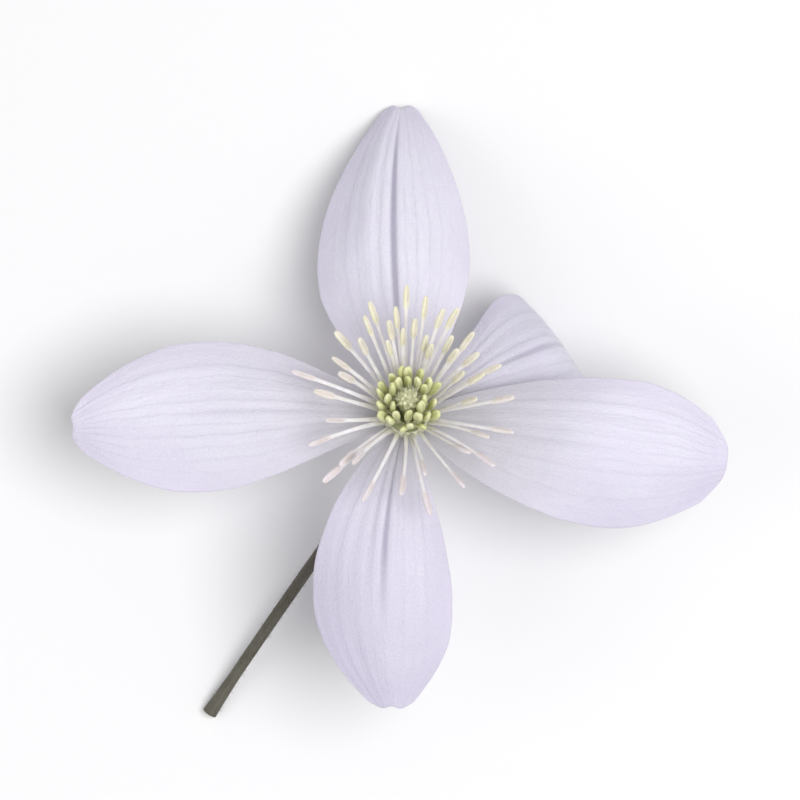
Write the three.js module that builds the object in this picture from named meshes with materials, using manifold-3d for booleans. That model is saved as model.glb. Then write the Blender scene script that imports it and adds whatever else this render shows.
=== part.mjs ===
// A single clematis flower, picked with its stalk and lying face up on a surface.
//
// Five white sepals spread from a small green receptacle at the end of a thin curved stalk. One of
// them is curled right back. A fringe of spreading stamens surrounds a tight core of upright ones, and
// the carpels stand in the middle of that core.
//
// The flower is modelled in millimetres in its own frame: the origin is at the centre of the
// receptacle's flat top, +Z runs forward along the flower's axis and +Y points to the top sepal. At the
// end the whole flower is turned so that it rests on its top sepal, its curled sepal and its stalk.

import * as THREE from "three";
import { mergeVertices } from "three/addons/utils/BufferGeometryUtils.js";
import Module from "manifold-3d";

const wasm = await Module();
wasm.setup();

// Driving dimensions.
const clearGap = 0.3; // left between two pieces that touch
const receptacleRadius = 2.0;
const receptacleDepth = 1.6; // below its flat top, before the stalk's neck
const stalkRadius = 0.56;
const stalkNeckRadius = 0.8; // where the stalk meets the receptacle
const stalkHeelRadius = 0.74; // the swelling at the cut end
const stalkBendRadius = 8; // the bow just behind the flower
const stalkBendAngle = 65; // degrees that the bow turns through
const stalkRunLength = 29.5; // the nearly straight stretch beyond the bow
const stalkRunBow = 0.6; // sideways bow of that stretch
const stalkAzimuth = 231; // degrees, the way the stalk leads off behind the flower
const sepalThickness = 0.6;
const sepalSeatHeight = -0.5; // the sepals' middle surface at the receptacle's rim
const filamentRadius = 0.24;
const stamenSides = 5;
const goldenAngle = 137.508; // degrees between one piece and the next in a spiral

// The spreading stamens. Their slopes from the flower's axis run from the steep first ones to the flat last
// ones. Those towards favourAzimuth are steeper and longer, and gather draws their neighbours to that side.
const outerSet = {
  count: 42, seed: 4217, ringInner: 1.85, ringOuter: 2.45, ringTop: 1.1, rootRadius: 2.14, rootHeight: 0.75,
  steepest: 33, slopeRange: 41, shortest: 8.2, lengthRange: 2.4, favourAzimuth: 76, favourSlope: -14,
  favourLength: 0.4, gather: 27, antherLength: 2.3, antherRadius: 0.36,
};

// The upright stamens of the core, in an outer and an inner row.
const innerSet = {
  seed: 911, ringInner: 0.92, ringOuter: 1.42, ringTop: 1.3, rootRadius: 1.17, rootHeight: 0.8,
  antherLength: 3.0, antherRadius: 0.48,
  rows: [
    { count: 17, length: 6.3, lean: 24, spread: 11 },
    { count: 12, length: 7.0, lean: 12, spread: 0 },
  ],
};

// The styles of the carpels, on their small dome.
const styleSet = {
  count: 19, seed: 57, rootSpread: 0.42, tipSpread: 0.96, height: 7.3, rootRadius: 0.2, fullRadius: 0.26,
};

// Each sepal. Angles are in degrees and lengths in millimetres.
// azimuth is the way the base points, and swing turns the tip from there. rise and fall are the slopes of
// the middle line at base and tip, and a bendPower over 1 keeps most of the bend for the outer part.
// seat moves the base forwards. widestAt is a share of the length, and baseShare and tipShare are shares
// of the width. A taperPower over 1 keeps the outer part full. camber lowers the margins, and ruffle is the
// height of their waves. notch and corner are the shares of the length that the tip is cut back by in its
// middle and at its corners. Beyond foldAt, a share of the half width on the anticlockwise side, the blade
// bends down by foldSlope.
const sepals = {
  sepal_top: {
    azimuth: 97, swing: -6.3, length: 34, rise: 8, fall: -41, bendPower: 1, twist: 3, seat: 0,
    width: 14.9, widestAt: 0.42, baseShare: 0.2, basePower: 0.9, tipShare: 0.17, taperPower: 1,
    camber: 1.1, ruffle: 0.35, waves: 1.7, notch: 0.022, corner: 0.03, foldAt: 0.3, foldSlope: 0.2,
  },
  sepal_left: {
    azimuth: 179, swing: 2, length: 31, rise: 15, fall: -24, bendPower: 1, twist: -6, seat: 0,
    width: 14.8, widestAt: 0.57, baseShare: 0.22, basePower: 1.15, tipShare: 0.22, taperPower: 1.2,
    camber: 1.7, ruffle: 0.45, waves: 1.3, notch: 0.018, corner: 0.04, foldAt: 0, foldSlope: 0,
  },
  sepal_bottom: {
    azimuth: 256, swing: 11, length: 26.8, rise: 12, fall: -30, bendPower: 1, twist: -4, seat: 0,
    width: 13.6, widestAt: 0.6, baseShare: 0.2, basePower: 0.95, tipShare: 0.22, taperPower: 1.2,
    camber: 1.6, ruffle: 0.4, waves: 1.6, notch: 0.022, corner: 0.03, foldAt: 0, foldSlope: 0,
  },
  sepal_right: {
    azimuth: -15, swing: 8, length: 29.7, rise: 14, fall: -26, bendPower: 1, twist: 4, seat: 0,
    width: 14.8, widestAt: 0.6, baseShare: 0.24, basePower: 0.92, tipShare: 0.36, taperPower: 1.2,
    camber: 1.5, ruffle: 0.4, waves: 1.4, notch: 0, corner: 0.07, foldAt: 0, foldSlope: 0,
  },
  sepal_curled: {
    azimuth: 31, swing: 0, length: 24.7, rise: 4, fall: -120, bendPower: 1.6, twist: -4, seat: -1.15,
    width: 13.6, widestAt: 0.6, baseShare: 0.15, basePower: 1.5, tipShare: 0.16, taperPower: 1.2,
    camber: 0.9, ruffle: 0.3, waves: 1.5, notch: 0.01, corner: 0.04, foldAt: 0, foldSlope: 0,
  },
};

// A seeded run of numbers between 0 and 1.
function seededDraw(seed) {
  let state = seed;
  return () => {
    state = (state * 16807) % 2147483647;
    return state / 2147483647;
  };
}

const radians = THREE.MathUtils.degToRad;

// A closed surface from its points and its triangles, which point out.
function closedGeometry(points, triangles) {
  const geometry = new THREE.BufferGeometry();
  geometry.setAttribute("position", new THREE.Float32BufferAttribute(points.flatMap((p) => p.toArray()), 3));
  geometry.setIndex(triangles.flat());
  geometry.computeVertexNormals();
  return geometry;
}

// A tapered tube with closed ends. Each station has its place along the curve, from 0 to 1, and a radius.
function taperedTube(curve, stations, sides) {
  const frames = curve.computeFrenetFrames(stations.length - 1, false);
  const points = [];
  const triangles = [];
  stations.forEach(({ at, radius }, ring) => {
    const centre = curve.getPointAt(at);
    for (let side = 0; side < sides; side++) {
      const angle = (2 * Math.PI * side) / sides;
      const offset = frames.normals[ring].clone().multiplyScalar(radius * Math.cos(angle));
      offset.addScaledVector(frames.binormals[ring], radius * Math.sin(angle));
      points.push(centre.clone().add(offset));
    }
  });
  const lastRing = (stations.length - 1) * sides;
  for (let ring = 0; ring < stations.length - 1; ring++) {
    for (let side = 0; side < sides; side++) {
      const a = ring * sides + side;
      const b = ring * sides + ((side + 1) % sides);
      triangles.push([a, b, b + sides], [a, b + sides, a + sides]);
    }
  }
  for (let side = 1; side < sides - 1; side++) {
    triangles.push([0, side + 1, side], [lastRing, lastRing + side, lastRing + side + 1]);
  }
  return closedGeometry(points, triangles);
}

// A solid for joining, from a closed geometry.
function solidOf(geometry) {
  const bare = new THREE.BufferGeometry();
  bare.setAttribute("position", geometry.getAttribute("position"));
  bare.setIndex(geometry.getIndex());
  const merged = mergeVertices(bare, 1e-4);
  return new wasm.Manifold(
    new wasm.Mesh({
      numProp: 3,
      vertProperties: new Float32Array(merged.getAttribute("position").array),
      triVerts: new Uint32Array(merged.getIndex().array),
    }),
  );
}

// Several closed geometries joined into one.
function joined(geometries) {
  const mesh = wasm.Manifold.union(geometries.map(solidOf)).getMesh();
  const geometry = new THREE.BufferGeometry();
  geometry.setAttribute("position", new THREE.BufferAttribute(mesh.vertProperties, 3));
  geometry.setIndex(new THREE.BufferAttribute(mesh.triVerts, 1));
  geometry.computeVertexNormals();
  return geometry;
}

// A round body about the flower's axis, from its outline as [radius, height] pairs.
function turned(outline, sides) {
  const profile = outline.map(([radius, height]) => new THREE.Vector2(radius, height));
  return new THREE.LatheGeometry(profile, sides).rotateX(Math.PI / 2);
}

// The sepal's half width at a share of its length.
function sepalHalfWidth(sepal, share) {
  const { widestAt, baseShare, basePower, tipShare, taperPower, width } = sepal;
  if (share < widestAt) {
    const swell = Math.sin((Math.PI / 2) * (share / widestAt) ** basePower);
    return (width / 2) * (baseShare + (1 - baseShare) * swell);
  }
  const taper = Math.cos((Math.PI / 2) * ((share - widestAt) / (1 - widestAt)) ** taperPower);
  return (width / 2) * (tipShare + (1 - tipShare) * taper);
}

// The slope of the sepal's middle line, in radians above the flower's face.
function sepalSlope(sepal, share) {
  return radians(sepal.rise + (sepal.fall - sepal.rise) * share ** sepal.bendPower);
}

// How far out and how far forward the middle line is at a share of its length.
function middleLine(sepal, share) {
  const steps = 24;
  const stepLength = (sepal.length * share) / steps;
  let outward = receptacleRadius + clearGap;
  let forward = sepalSeatHeight + sepal.seat;
  for (let step = 0; step < steps; step++) {
    const slope = sepalSlope(sepal, (share * (step + 0.5)) / steps);
    outward += stepLength * Math.cos(slope);
    forward += stepLength * Math.sin(slope);
  }
  return [outward, forward];
}

// A point of the sepal's middle surface. along runs from 0 at the base to 1 at the tip, and across from
// -1 to 1 between the margins, anticlockwise as seen from the front.
function sepalPoint(sepal, along, across) {
  const tipNotch = sepal.notch * Math.exp(-((across / 0.4) ** 2));
  const tipCorner = sepal.corner * across ** 4;
  const share = along * (1 - (tipNotch + tipCorner) * along ** 12);
  const [outward, forward] = middleLine(sepal, share);
  const slope = sepalSlope(sepal, share);
  const heading = radians(sepal.azimuth + sepal.swing * share);
  const radial = new THREE.Vector3(Math.cos(heading), Math.sin(heading), 0);
  const lean = radians(sepal.twist) * share;
  const side = new THREE.Vector3(-Math.sin(heading), Math.cos(heading), 0);
  const normal = radial.clone().multiplyScalar(-Math.sin(slope)).setZ(Math.cos(slope));
  const crosswise = side.clone().multiplyScalar(Math.cos(lean)).addScaledVector(normal, Math.sin(lean));
  const outOfFace = normal.clone().multiplyScalar(Math.cos(lean)).addScaledVector(side, -Math.sin(lean));
  const halfWidth = sepalHalfWidth(sepal, share);
  const fullness = (2 * halfWidth) / sepal.width;
  const fade = Math.sqrt(Math.sin(Math.PI * Math.min(0.98, Math.max(0.02, share))));
  const midribs = 0.24 * fade * Math.exp(-(((Math.abs(across) - 0.13) / 0.08) ** 2));
  const wave = Math.sin(2 * Math.PI * sepal.waves * share + Math.sign(across) * 1.1);
  const ruffle = sepal.ruffle * Math.abs(across) ** 3 * wave * fade;
  const pastFold = across - sepal.foldAt;
  const foldDrop = sepal.foldSlope * halfWidth * fade * 0.5 * (pastFold + Math.sqrt(pastFold ** 2 + 0.003));
  const height = midribs + ruffle - foldDrop - sepal.camber * (across * fullness) ** 2;
  return radial
    .multiplyScalar(outward)
    .setZ(forward)
    .addScaledVector(crosswise, halfWidth * across)
    .addScaledVector(outOfFace, height);
}

// The sepal as a thin blade of even thickness, its two faces split into triangles alike.
function sepalGeometry(sepal) {
  const alongSteps = 16;
  const acrossStops = [-1, -0.8, -0.55, -0.3, -0.13, 0, 0.13, 0.3, 0.55, 0.8, 1];
  const columns = acrossStops.length;
  const nudge = 0.002;
  const front = [];
  const back = [];
  for (let row = 0; row <= alongSteps; row++) {
    const along = (row / alongSteps) ** 0.92;
    for (const across of acrossStops) {
      const point = sepalPoint(sepal, along, across);
      const before = sepalPoint(sepal, Math.max(0, along - nudge), across);
      const outwards = sepalPoint(sepal, Math.min(1, along + nudge), across).sub(before);
      const sideways = sepalPoint(sepal, along, across + nudge).sub(sepalPoint(sepal, along, across - nudge));
      const normal = outwards.cross(sideways).normalize();
      front.push(point.clone().addScaledVector(normal, sepalThickness / 2));
      back.push(point.clone().addScaledVector(normal, -sepalThickness / 2));
    }
  }
  const underside = front.length;
  const triangles = [];
  for (let row = 0; row < alongSteps; row++) {
    for (let column = 0; column < columns - 1; column++) {
      const a = row * columns + column;
      const corners = [a, a + columns, a + columns + 1, a + 1];
      const [p, q, r, s] = corners;
      triangles.push([p, q, r], [p, r, s]);
      const [pBack, qBack, rBack, sBack] = corners.map((corner) => corner + underside);
      triangles.push([pBack, rBack, qBack], [pBack, sBack, rBack]);
    }
  }
  const rim = [];
  for (let column = 0; column < columns; column++) rim.push(column);
  for (let row = 1; row <= alongSteps; row++) rim.push(row * columns + columns - 1);
  for (let column = columns - 2; column >= 0; column--) rim.push(alongSteps * columns + column);
  for (let row = alongSteps - 1; row > 0; row--) rim.push(row * columns);
  rim.forEach((a, place) => {
    const b = rim[(place + 1) % rim.length];
    triangles.push([a, b, b + underside], [a, b + underside, a + underside]);
  });
  return closedGeometry([...front, ...back], triangles);
}

// The stalk's middle line, from inside the receptacle round the bow behind the flower to the cut end.
function stalkCurve() {
  const heading = radians(stalkAzimuth);
  const lead = new THREE.Vector3(Math.cos(heading), Math.sin(heading), 0);
  const sideways = new THREE.Vector3(-Math.sin(heading), Math.cos(heading), 0);
  const bend = radians(stalkBendAngle);
  const neckHeight = -receptacleDepth * 0.6;
  const points = [new THREE.Vector3(0, 0, neckHeight), new THREE.Vector3(0, 0, -receptacleDepth - 0.6)];
  const bowStart = points[1];
  const bowSteps = 6;
  for (let step = 1; step <= bowSteps; step++) {
    const angle = (bend * step) / bowSteps;
    const point = bowStart.clone().addScaledVector(lead, stalkBendRadius * (1 - Math.cos(angle)));
    point.z -= stalkBendRadius * Math.sin(angle);
    points.push(point);
  }
  const bowEnd = points[points.length - 1];
  const runDirection = lead.clone().multiplyScalar(Math.sin(bend)).setZ(-Math.cos(bend));
  const runSteps = 4;
  for (let step = 1; step <= runSteps; step++) {
    const share = step / runSteps;
    const point = bowEnd.clone().addScaledVector(runDirection, stalkRunLength * share);
    points.push(point.addScaledVector(sideways, stalkRunBow * share ** 2));
  }
  return new THREE.CatmullRomCurve3(points, false, "centripetal");
}

// The stalk, thin along its run, fuller at the neck and swollen at the cut end, with the receptacle.
function stalkGeometry() {
  const steps = 30;
  const stations = [];
  for (let step = 0; step <= steps; step++) {
    const at = step / steps;
    const neck = (stalkNeckRadius - stalkRadius) * Math.max(0, 1 - at / 0.16) ** 2;
    const heel = (stalkHeelRadius - stalkRadius) * Math.max(0, (at - 0.88) / 0.12) ** 1.5;
    stations.push({ at, radius: stalkRadius + neck + heel });
  }
  const receptacle = turned(
    [
      [0, -receptacleDepth - 1.1],
      [stalkNeckRadius, -receptacleDepth - 1.0],
      [stalkNeckRadius + 0.25, -receptacleDepth - 0.3],
      [receptacleRadius * 0.78, -receptacleDepth + 0.35],
      [receptacleRadius, -receptacleDepth * 0.52],
      [receptacleRadius, -0.12],
      [receptacleRadius - 0.15, 0],
      [0, 0],
    ],
    20,
  );
  return joined([receptacle, taperedTube(stalkCurve(), stations, 10)]);
}

// One stamen: a thin filament that ends in a thicker anther. It leaves its root at the slope lean, and
// ends at the slope spread, both in degrees from the flower's axis.
function stamenGeometry(stamen) {
  const { azimuth, rootRadius, rootHeight, lean, spread, length, antherLength, antherRadius } = stamen;
  const heading = radians(azimuth);
  const radial = new THREE.Vector3(Math.cos(heading), Math.sin(heading), 0);
  const place = (outward, forward) => radial.clone().multiplyScalar(outward).setZ(forward);
  const stretch = (angle, run) => place(run * Math.sin(radians(angle)), run * Math.cos(radians(angle)));
  const root = place(rootRadius, rootHeight);
  const knee = root.clone().add(stretch(lean, length * 0.45));
  const tip = knee.clone().add(stretch(spread, length * 0.55));
  const antherStart = 1 - antherLength / length;
  const stations = [
    { at: 0, radius: filamentRadius * 1.25 },
    { at: antherStart * 0.5, radius: filamentRadius },
    { at: antherStart, radius: filamentRadius },
    { at: antherStart + (1 - antherStart) * 0.2, radius: antherRadius },
    { at: antherStart + (1 - antherStart) * 0.75, radius: antherRadius },
    { at: 1, radius: antherRadius * 0.4 },
  ];
  return taperedTube(new THREE.QuadraticBezierCurve3(root, knee, tip), stations, stamenSides);
}

// A low ring about the axis, which a set of stamens grows from.
function rootRing({ ringInner, ringOuter, ringTop }) {
  const outline = [
    [ringInner, clearGap],
    [ringOuter, clearGap],
    [ringOuter, ringTop],
    [ringInner, ringTop],
    [ringInner, clearGap],
  ];
  return turned(outline, 24);
}

// The spreading stamens, set round their ring by the golden angle and gathered towards one side, the later
// ones lying flatter.
function outerStamensGeometry() {
  const draw = seededDraw(outerSet.seed);
  const pieces = [rootRing(outerSet)];
  for (let index = 0; index < outerSet.count; index++) {
    const tier = (index + 0.5) / outerSet.count;
    const even = index * goldenAngle + 10 * (draw() - 0.5);
    const azimuth = even - outerSet.gather * Math.sin(radians(even - outerSet.favourAzimuth));
    const favour = Math.cos(radians(azimuth - outerSet.favourAzimuth));
    const slope = outerSet.steepest + outerSet.slopeRange * tier + outerSet.favourSlope * favour;
    const spread = slope + 8 * (draw() - 0.5);
    const reach = outerSet.shortest + outerSet.lengthRange * tier + outerSet.favourLength * favour;
    const length = reach + 1.6 * (draw() - 0.5);
    pieces.push(stamenGeometry({ ...outerSet, azimuth, lean: 12 + spread * 0.5, spread, length }));
  }
  return joined(pieces);
}

// The upright stamens in two rows, which lean out, close over at their tips and make a round core.
function innerStamensGeometry() {
  const draw = seededDraw(innerSet.seed);
  const pieces = [rootRing(innerSet)];
  for (const row of innerSet.rows) {
    for (let index = 0; index < row.count; index++) {
      const azimuth = (360 * index) / row.count + 6 * (draw() - 0.5);
      const length = row.length + 0.6 * (draw() - 0.5);
      pieces.push(stamenGeometry({ ...innerSet, ...row, azimuth, length }));
    }
  }
  return joined(pieces);
}

// The carpels: a small dome with a bunch of slender styles.
function pistilGeometry() {
  const draw = seededDraw(styleSet.seed);
  const pieces = [turned([[0, clearGap], [0.6, clearGap], [0.6, 1.3], [0.42, 1.85], [0, 2.1]], 12)];
  for (let index = 0; index < styleSet.count; index++) {
    const heading = radians(index * goldenAngle);
    const share = Math.sqrt((index + 0.5) / styleSet.count);
    const place = (outward, forward) =>
      new THREE.Vector3(outward * share * Math.cos(heading), outward * share * Math.sin(heading), forward);
    const root = place(styleSet.rootSpread, 1.0);
    const tip = place(styleSet.tipSpread, styleSet.height - 0.9 * share + 0.4 * (draw() - 0.5));
    const curve = new THREE.QuadraticBezierCurve3(root, root.clone().lerp(tip, 0.5), tip);
    const stations = [
      { at: 0, radius: styleSet.rootRadius },
      { at: 0.45, radius: styleSet.rootRadius },
      { at: 0.85, radius: styleSet.fullRadius },
      { at: 1, radius: styleSet.fullRadius * 0.45 },
    ];
    pieces.push(taperedTube(curve, stations, 5));
  }
  return joined(pieces);
}

// Turns the flower so that the plane under its three feet is level, then sets its lowest point on z = 0
// and centres it over the origin.
function layDown(flower, footNames, upGuess) {
  const vertices = (mesh) => {
    const position = mesh.geometry.getAttribute("position");
    const places = Array.from({ length: position.count }, (_, index) => index);
    return places.map((index) => new THREE.Vector3().fromBufferAttribute(position, index));
  };
  const feet = footNames.map((name) => vertices(flower.getObjectByName(name)));
  const lowest = (points, up) => points.reduce((low, p) => (p.dot(up) < low.dot(up) ? p : low));
  let up = upGuess.clone().normalize();
  for (let round = 0; round < 12; round++) {
    const [a, b, c] = feet.map((points) => lowest(points, up));
    up = b.clone().sub(a).cross(c.clone().sub(a)).normalize();
    if (up.dot(upGuess) < 0) up.negate();
  }
  const right = new THREE.Vector3(1, 0, 0).addScaledVector(up, -up.x).normalize();
  const away = up.clone().cross(right);
  flower.setRotationFromMatrix(new THREE.Matrix4().makeBasis(right, away, up).transpose());
  flower.updateMatrixWorld(true);
  const box = new THREE.Box3().setFromObject(flower, true);
  const middle = box.getCenter(new THREE.Vector3());
  flower.position.set(-middle.x, -middle.y, -box.min.z);
}

const sepalMaterial = new THREE.MeshStandardMaterial({
  color: 0xe9e5f3, roughness: 0.55, metalness: 0, side: THREE.DoubleSide,
});
const stalkMaterial = new THREE.MeshStandardMaterial({ color: 0x5c4a3a, roughness: 0.6, metalness: 0 });
const outerStamenMaterial = new THREE.MeshStandardMaterial({ color: 0xe8e3d2, roughness: 0.6, metalness: 0 });
const innerStamenMaterial = new THREE.MeshStandardMaterial({ color: 0xb2b478, roughness: 0.6, metalness: 0 });
const pistilMaterial = new THREE.MeshStandardMaterial({ color: 0x98a05a, roughness: 0.6, metalness: 0 });

const flower = new THREE.Group();

function addPiece(name, geometry, material) {
  const mesh = new THREE.Mesh(geometry, material);
  mesh.name = name;
  flower.add(mesh);
}

addPiece("stalk", stalkGeometry(), stalkMaterial);
for (const [name, sepal] of Object.entries(sepals)) {
  addPiece(name, sepalGeometry(sepal), sepalMaterial);
}
addPiece("stamens_outer", outerStamensGeometry(), outerStamenMaterial);
addPiece("stamens_inner", innerStamensGeometry(), innerStamenMaterial);
addPiece("pistil", pistilGeometry(), pistilMaterial);
layDown(flower, ["sepal_top", "sepal_curled", "stalk"], new THREE.Vector3(-0.1, -0.2, 0.97));

const part = new THREE.Group();
part.add(flower);

export default part;
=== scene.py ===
# A clematis flower, picked with its stalk and lying face up on a plain pale floor.
import math
import random

import bmesh
import bpy
from mathutils import Matrix, Vector, noise


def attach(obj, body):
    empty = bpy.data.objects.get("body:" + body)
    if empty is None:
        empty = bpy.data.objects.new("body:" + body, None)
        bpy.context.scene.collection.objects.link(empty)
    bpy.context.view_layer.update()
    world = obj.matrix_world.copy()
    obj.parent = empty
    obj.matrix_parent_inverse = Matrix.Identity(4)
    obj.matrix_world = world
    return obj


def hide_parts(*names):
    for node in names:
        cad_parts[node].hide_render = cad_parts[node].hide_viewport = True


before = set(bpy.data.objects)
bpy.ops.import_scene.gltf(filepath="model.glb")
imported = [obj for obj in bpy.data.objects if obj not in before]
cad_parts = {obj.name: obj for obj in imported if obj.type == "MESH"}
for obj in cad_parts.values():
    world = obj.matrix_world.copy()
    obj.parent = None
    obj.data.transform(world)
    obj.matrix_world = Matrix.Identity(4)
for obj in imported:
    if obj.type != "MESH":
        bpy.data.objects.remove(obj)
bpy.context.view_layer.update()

scene = bpy.context.scene

# Every piece is shaped in the flower's own frame, in millimetres and degrees. The origin is the middle
# of the receptacle's flat top, +Z runs forward along the flower's axis and +Y points to the top sepal.
# pose turns that frame to the way the flower rests on the floor.
pose = {"up": (-0.007707, -0.209365, 0.977807), "middle": (0.69435, -0.99503, 16.79898)}
mm = 0.001
goldenAngle = 137.508  # between one piece and the next in a spiral


def poseMatrix():
    up = Vector(pose["up"]).normalized()
    right = (Vector((1, 0, 0)) - up * up.x).normalized()
    turn = Matrix((right, up.cross(right), up)).to_4x4()
    return Matrix.Scale(mm, 4) @ Matrix.Translation(Vector(pose["middle"])) @ turn


def smoothStep(low, high, value):
    t = min(1, max(0, (value - low) / (high - low)))
    return t * t * (3 - 2 * t)


def mixed(a, b, share):
    return a + (b - a) * share


def bump(value, centre, width):
    return math.exp(-(((value - centre) / width) ** 2))


def setInputs(tree, node, inputs):
    # each input is given a value, or a socket to link from
    for key, value in inputs.items():
        socket = node.inputs[key]
        if isinstance(value, bpy.types.NodeSocket):
            tree.links.new(value, socket)
        else:
            socket.default_value = value


def add(tree, kind, inputs=None, **settings):
    node = tree.nodes.new(kind)
    for key, value in settings.items():
        setattr(node, key, value)
    setInputs(tree, node, inputs or {})
    return node


def place(tree, group, inputs):
    return add(tree, "ShaderNodeGroup", inputs, node_tree=group).outputs


def mark(tree, label):
    # a value that the piece keeps at each of its points
    return add(tree, "ShaderNodeAttribute", attribute_name=label).outputs["Fac"]


def maths(tree, operation, a, b=0.0, clamp=False):
    return add(tree, "ShaderNodeMath", {0: a, 1: b}, operation=operation, use_clamp=clamp).outputs[0]


def times(tree, a, b):
    return maths(tree, "MULTIPLY", a, b)


def rangeOf(tree, value, fromLow, fromHigh, toLow=0.0, toHigh=1.0):
    node = add(tree, "ShaderNodeMapRange",
               {"Value": value, "From Min": fromLow, "From Max": fromHigh, "To Min": toLow, "To Max": toHigh},
               interpolation_type="SMOOTHSTEP")
    return node.outputs[0]


def mixColour(tree, factor, a, b, blend="MIX"):
    node = add(tree, "ShaderNodeMix", {0: factor, 6: a, 7: b}, data_type="RGBA", blend_type=blend)
    return node.outputs[2]


def stain(tree, colour, mask, amount, over):
    # lays a second colour over the first, by an amount at the most
    return mixColour(tree, times(tree, mask, amount), colour, over)


def newGroup(name, inputs, outputs):
    group = bpy.data.node_groups.new(name, "ShaderNodeTree")
    for label, kind, value in inputs:
        socket = group.interface.new_socket(label, in_out="INPUT", socket_type=kind)
        if value is not None:
            socket.default_value = value
    for label, kind in outputs:
        group.interface.new_socket(label, in_out="OUTPUT", socket_type=kind)
    enter = group.nodes.new("NodeGroupInput")
    leave = group.nodes.new("NodeGroupOutput")
    return group, enter.outputs, leave


def tissueGroup():
    # living tissue: soft blotches, and the fine grain of its cells
    group, enter, leave = newGroup(
        "plantTissue",
        [("Vector", "NodeSocketVector", None), ("Blotch Scale", "NodeSocketFloat", 150.0),
         ("Cell Scale", "NodeSocketFloat", 4000.0)],
        [("Blotch", "NodeSocketFloat"), ("Cells", "NodeSocketFloat"), ("Height", "NodeSocketFloat")])
    blotch = add(group, "ShaderNodeTexNoise", {"Vector": enter["Vector"], "Scale": enter["Blotch Scale"],
                                               "Detail": 4.0, "Roughness": 0.55, "Distortion": 0.6})
    cells = add(group, "ShaderNodeTexVoronoi", {"Vector": enter["Vector"], "Scale": enter["Cell Scale"]},
                feature="F1")
    dome = maths(group, "SUBTRACT", 1.0, cells.outputs["Distance"])
    setInputs(group, leave, {
        "Blotch": rangeOf(group, blotch.outputs[0], 0.3, 0.7),
        "Cells": cells.outputs["Distance"],
        "Height": maths(group, "ADD", dome, times(group, blotch.outputs[0], 0.6)),
    })
    return group


def veinGroup():
    # lengthwise veins that follow a sepal's own map: u runs across it and v from base to tip
    group, enter, leave = newGroup(
        "sepalVeins",
        [("Map", "NodeSocketVector", None), ("Count", "NodeSocketFloat", 9.0),
         ("Wander", "NodeSocketFloat", 0.02), ("Width", "NodeSocketFloat", 0.2)],
        [("Veins", "NodeSocketFloat"), ("Net", "NodeSocketFloat"), ("Across", "NodeSocketFloat"),
         ("Along", "NodeSocketFloat")])
    parts = add(group, "ShaderNodeSeparateXYZ", {0: enter["Map"]})
    u, v = parts.outputs[0], parts.outputs[1]
    across = maths(group, "ABSOLUTE", maths(group, "SUBTRACT", times(group, u, 2.0), 1.0))
    driftMap = add(group, "ShaderNodeMapping", {"Vector": enter["Map"], "Scale": (3.0, 7.0, 1.0)})
    drift = add(group, "ShaderNodeTexNoise", {"Vector": driftMap.outputs[0], "Scale": 1.0, "Detail": 3.0})
    sway = times(group, maths(group, "SUBTRACT", drift.outputs[0], 0.5), enter["Wander"])
    track = times(group, maths(group, "ADD", u, sway), enter["Count"])
    saw = maths(group, "ABSOLUTE", maths(group, "SUBTRACT", maths(group, "FRACT", track), 0.5))
    netMap = add(group, "ShaderNodeMapping", {"Vector": enter["Map"], "Scale": (16.0, 9.0, 1.0)})
    net = add(group, "ShaderNodeTexVoronoi", {"Vector": netMap.outputs[0], "Scale": 1.0, "Randomness": 0.9},
              feature="DISTANCE_TO_EDGE")
    setInputs(group, leave, {
        "Veins": rangeOf(group, saw, 0.0, enter["Width"], 1.0, 0.0),
        "Net": rangeOf(group, net.outputs["Distance"], 0.0, 0.09, 1.0, 0.0),
        "Across": across,
        "Along": v,
    })
    return group


tissue = tissueGroup()
veins = veinGroup()


def newMaterial(name):
    material = bpy.data.materials.new(name)
    material.use_nodes = True
    tree = material.node_tree
    tree.nodes.clear()
    shader = add(tree, "ShaderNodeBsdfPrincipled")
    add(tree, "ShaderNodeOutputMaterial", {"Surface": shader.outputs[0]})
    return material, tree, shader


def tissueMaterial(name, blotchScale, cellScale):
    material, tree, shader = newMaterial(name)
    spot = add(tree, "ShaderNodeTexCoord").outputs["Object"]
    skin = place(tree, tissue, {"Vector": spot, "Blotch Scale": blotchScale, "Cell Scale": cellScale})
    return material, tree, shader, skin


def setRelief(tree, shader, height, depth, strength):
    relief = add(tree, "ShaderNodeBump", {"Height": height, "Distance": depth, "Strength": strength})
    setInputs(tree, shader, {"Normal": relief.outputs[0]})


def setTranslucence(tree, shader, finish):
    # how far light goes into the tissue
    setInputs(tree, shader, {
        "Subsurface Weight": finish["subsurface"],
        "Subsurface Radius": finish["radius"],
        "Subsurface Scale": finish["depth"],
    })


def growRod(stations, sides):
    # a straight closed rod along Z, from its stations: (share of the length, radius)
    bm = bmesh.new()
    bmesh.ops.create_circle(bm, cap_ends=True, segments=sides, radius=stations[0][1])
    bmesh.ops.translate(bm, vec=(0, 0, stations[0][0]), verts=bm.verts[:])
    rim = bm.edges[:]
    for (shareBefore, radiusBefore), (share, radius) in zip(stations, stations[1:]):
        grown = bmesh.ops.extrude_edge_only(bm, edges=rim)["geom"]
        ring = [g for g in grown if isinstance(g, bmesh.types.BMVert)]
        rim = [g for g in grown if isinstance(g, bmesh.types.BMEdge)]
        widen = radius / radiusBefore
        bmesh.ops.scale(bm, vec=(widen, widen, 1), verts=ring)
        bmesh.ops.translate(bm, vec=(0, 0, share - shareBefore), verts=ring)
    bmesh.ops.contextual_create(bm, geom=rim)
    bmesh.ops.recalc_face_normals(bm, faces=bm.faces[:])
    mesh = bpy.data.meshes.new("rod")
    bm.to_mesh(mesh)
    bm.free()
    return mesh


def wayAlong(spine, share, step=0.01):
    return (spine(min(1, share + step)) - spine(max(0, share - step))).normalized()


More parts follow.
